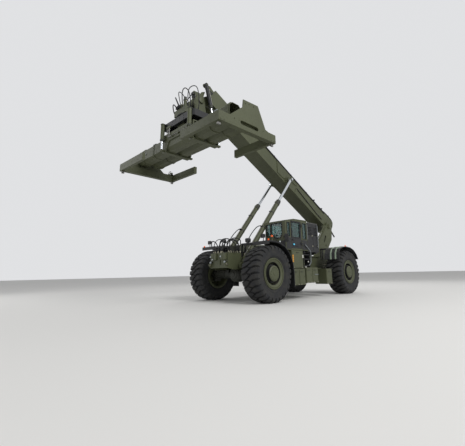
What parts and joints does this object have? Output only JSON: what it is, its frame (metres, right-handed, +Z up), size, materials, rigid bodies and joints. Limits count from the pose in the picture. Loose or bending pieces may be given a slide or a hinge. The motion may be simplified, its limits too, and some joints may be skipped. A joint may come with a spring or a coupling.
{
  "type": "rough terrain container handler",
  "caption": "Four-wheel rough terrain container handler with a telescopic boom, side cab and turning spreader that locks into container corners.",
  "frame": {"origin": "on the ground, in the middle of the whole machine's outline seen from above, boom and spreader as in the picture", "axes": "+X to the machine's left, +Y to its back, +Z up; the boom reaches forward along -Y"},
  "size_m": [6.06, 10.88, 8.18],
  "materials": {
    "black": "matt black paint",
    "chrome": "hard chromed rod",
    "glass": "tinted cab glass",
    "iron": "painted castings, oily",
    "lamp": "orange lamp lens",
    "olive": "matt olive drab paint, dusty",
    "seat": "black woven cloth",
    "steel": "bare worn steel",
    "tyre": "worn grey-black rubber"
  },
  "bodies": {
    "chassis": {"frame": "olive", "front_axle": "iron", "rear_axle": "iron", "front_fenders": "black", "rear_fenders": "black", "side_boxes": "olive", "steps": "black", "cab_shell": "olive", "cab_glass": "glass", "cab_mount": "olive", "cab_seat": "seat", "cab_controls": "black", "cab_cabinet": "black", "engine_hood": "olive", "engine": "iron", "fuel_tank": "olive", "exhaust": "black", "counterweight": "olive", "marker_lamps": "lamp", "work_lamps": "black", "mirrors": "black"},
    "cab_door": {"cab_door": "olive", "door_glass": "glass"},
    "boom": {"boom_outer": "olive"},
    "boom_tip": {"boom_inner": "olive"},
    "head": {"head": "olive"},
    "rotator": {"rotator": "black", "shift_carriage": "olive", "tilt_barrels": "olive", "tilt_rods": "chrome"},
    "spreader": {"spreader_frame": "olive"},
    "end_left": {"end_frame_left": "olive"},
    "end_right": {"end_frame_right": "olive"},
    "knuckle_front_left": {"knuckle_front_left": "iron"},
    "wheel_front_left": {"rim_front_left": "olive", "tyre_front_left": "tyre"},
    "knuckle_front_right": {"knuckle_front_right": "iron"},
    "wheel_front_right": {"rim_front_right": "olive", "tyre_front_right": "tyre"},
    "knuckle_rear_left": {"knuckle_rear_left": "iron"},
    "wheel_rear_left": {"rim_rear_left": "olive", "tyre_rear_left": "tyre"},
    "knuckle_rear_right": {"knuckle_rear_right": "iron"},
    "wheel_rear_right": {"rim_rear_right": "olive", "tyre_rear_right": "tyre"},
    "twistlock_front_left": {"twistlock_front_left": "steel"},
    "twistlock_rear_left": {"twistlock_rear_left": "steel"},
    "twistlock_front_right": {"twistlock_front_right": "steel"},
    "twistlock_rear_right": {"twistlock_rear_right": "steel"},
    "lift_barrel_left": {"lift_barrel_left": "olive"},
    "lift_rod_left": {"lift_rod_left": "chrome"},
    "level_barrel_left": {"level_barrel_left": "olive"},
    "level_rod_left": {"level_rod_left": "chrome"},
    "lift_barrel_right": {"lift_barrel_right": "olive"},
    "lift_rod_right": {"lift_rod_right": "chrome"},
    "level_barrel_right": {"level_barrel_right": "olive"},
    "level_rod_right": {"level_rod_right": "chrome"}
  },
  "joints": [
    {"name": "steer_front_left", "type": "hinge", "parent": "chassis", "child": "knuckle_front_left", "pos_m": [1.32, -1.84, 0.98], "axis": [0, 0, 1], "range_deg": [-20, 20]},
    {"name": "roll_front_left", "type": "hinge", "parent": "knuckle_front_left", "child": "wheel_front_left", "pos_m": [1.47, -1.84, 0.98], "axis": [1, 0, 0], "continuous": true},
    {"name": "steer_front_right", "type": "hinge", "parent": "chassis", "child": "knuckle_front_right", "pos_m": [-1.32, -1.84, 0.98], "axis": [0, 0, 1], "range_deg": [-20, 20]},
    {"name": "roll_front_right", "type": "hinge", "parent": "knuckle_front_right", "child": "wheel_front_right", "pos_m": [-1.47, -1.84, 0.98], "axis": [1, 0, 0], "continuous": true},
    {"name": "steer_rear_left", "type": "hinge", "parent": "chassis", "child": "knuckle_rear_left", "pos_m": [1.32, 3.72, 0.98], "axis": [0, 0, 1], "range_deg": [-20, 20]},
    {"name": "roll_rear_left", "type": "hinge", "parent": "knuckle_rear_left", "child": "wheel_rear_left", "pos_m": [1.47, 3.72, 0.98], "axis": [1, 0, 0], "continuous": true},
    {"name": "steer_rear_right", "type": "hinge", "parent": "chassis", "child": "knuckle_rear_right", "pos_m": [-1.32, 3.72, 0.98], "axis": [0, 0, 1], "range_deg": [-20, 20]},
    {"name": "roll_rear_right", "type": "hinge", "parent": "knuckle_rear_right", "child": "wheel_rear_right", "pos_m": [-1.47, 3.72, 0.98], "axis": [1, 0, 0], "continuous": true},
    {"name": "door_swing", "type": "hinge", "parent": "chassis", "child": "cab_door", "pos_m": [1.75, 0.046, 2.5], "axis": [0, 0, 1], "range_deg": [0, 100]},
    {"name": "boom_lift", "type": "hinge", "parent": "chassis", "child": "boom", "pos_m": [0, 4.49, 3.35], "axis": [1, 0, 0], "range_deg": [-24, 24]},
    {"name": "boom_extend", "type": "slide", "parent": "boom", "child": "boom_tip", "axis": [0, -0.8824, 0.4706], "range_m": [0, 2.8]},
    {"name": "spreader_tilt", "type": "hinge", "parent": "boom_tip", "child": "head", "pos_m": [0, -3.99, 7.4], "axis": [-1, 0, 0], "range_deg": [-24, 24]},
    {"name": "slew", "type": "hinge", "parent": "head", "child": "rotator", "pos_m": [0, -4.22, 6.6], "axis": [0, 0, 1], "range_deg": [-195, 105]},
    {"name": "side_shift", "type": "slide", "parent": "rotator", "child": "spreader", "axis": [1, 0, 0], "range_m": [-0.6, 0.6]},
    {"name": "telescope_left", "type": "slide", "parent": "spreader", "child": "end_left", "axis": [-1, 0, 0], "range_m": [-3.05, 0]},
    {"name": "telescope_right", "type": "slide", "parent": "spreader", "child": "end_right", "axis": [1, 0, 0], "range_m": [-3.05, 0]},
    {"name": "lock_front_left", "type": "hinge", "parent": "end_left", "child": "twistlock_front_left", "pos_m": [2.9265, -5.3495, 5.06], "axis": [0, 0, 1], "range_deg": [0, 90]},
    {"name": "lock_rear_left", "type": "hinge", "parent": "end_left", "child": "twistlock_rear_left", "pos_m": [2.9265, -3.0905, 5.06], "axis": [0, 0, 1], "range_deg": [0, 90]},
    {"name": "lock_front_right", "type": "hinge", "parent": "end_right", "child": "twistlock_front_right", "pos_m": [-2.9265, -5.3495, 5.06], "axis": [0, 0, 1], "range_deg": [0, 90]},
    {"name": "lock_rear_right", "type": "hinge", "parent": "end_right", "child": "twistlock_rear_right", "pos_m": [-2.9265, -3.0905, 5.06], "axis": [0, 0, 1], "range_deg": [0, 90]},
    {"name": "lift_barrel_left_turn", "type": "hinge", "parent": "chassis", "child": "lift_barrel_left", "pos_m": [0.6, -2.21, 1.3], "axis": [1, 0, 0], "range_deg": [-6, 6]},
    {"name": "lift_rod_left_slide", "type": "slide", "parent": "lift_barrel_left", "child": "lift_rod_left", "axis": [0, 0.6454, 0.7639], "range_m": [-1.5, 1.5]},
    {"name": "level_barrel_left_turn", "type": "hinge", "parent": "boom_tip", "child": "level_barrel_left", "pos_m": [0.43, -3.84, 8.09], "axis": [-1, 0, 0], "range_deg": [-13, 13]},
    {"name": "level_rod_left_slide", "type": "slide", "parent": "level_barrel_left", "child": "level_rod_left", "axis": [0, 0.2572, -0.9664], "range_m": [-0.14, 0.14]},
    {"name": "lift_barrel_right_turn", "type": "hinge", "parent": "chassis", "child": "lift_barrel_right", "pos_m": [-0.6, -2.21, 1.3], "axis": [1, 0, 0], "range_deg": [-6, 6]},
    {"name": "lift_rod_right_slide", "type": "slide", "parent": "lift_barrel_right", "child": "lift_rod_right", "axis": [0, 0.6454, 0.7639], "range_m": [-1.5, 1.5]},
    {"name": "level_barrel_right_turn", "type": "hinge", "parent": "boom_tip", "child": "level_barrel_right", "pos_m": [-0.43, -3.84, 8.09], "axis": [-1, 0, 0], "range_deg": [-13, 13]},
    {"name": "level_rod_right_slide", "type": "slide", "parent": "level_barrel_right", "child": "level_rod_right", "axis": [0, 0.2572, -0.9664], "range_m": [-0.14, 0.14]}
  ],
  "couplings": [
    {"joint": "steer_front_right", "follows": "steer_front_left", "ratio": 1},
    {"joint": "steer_rear_right", "follows": "steer_rear_left", "ratio": 1},
    {"joint": "telescope_right", "follows": "telescope_left", "ratio": 1},
    {"joint": "lock_rear_left", "follows": "lock_front_left", "ratio": 1},
    {"joint": "lock_front_right", "follows": "lock_front_left", "ratio": 1},
    {"joint": "lock_rear_right", "follows": "lock_front_left", "ratio": 1},
    {"joint": "lift_barrel_left_turn", "follows": "boom_lift", "ratio": -0.133},
    {"joint": "lift_rod_left_slide", "follows": "boom_lift", "m_per_rad": -3.45},
    {"joint": "level_barrel_left_turn", "follows": "spreader_tilt", "ratio": 0.51},
    {"joint": "level_rod_left_slide", "follows": "spreader_tilt", "m_per_rad": 0.32},
    {"joint": "lift_barrel_right_turn", "follows": "boom_lift", "ratio": -0.133},
    {"joint": "lift_rod_right_slide", "follows": "boom_lift", "m_per_rad": -3.45},
    {"joint": "level_barrel_right_turn", "follows": "spreader_tilt", "ratio": 0.51},
    {"joint": "level_rod_right_slide", "follows": "spreader_tilt", "m_per_rad": 0.32}
  ]
}
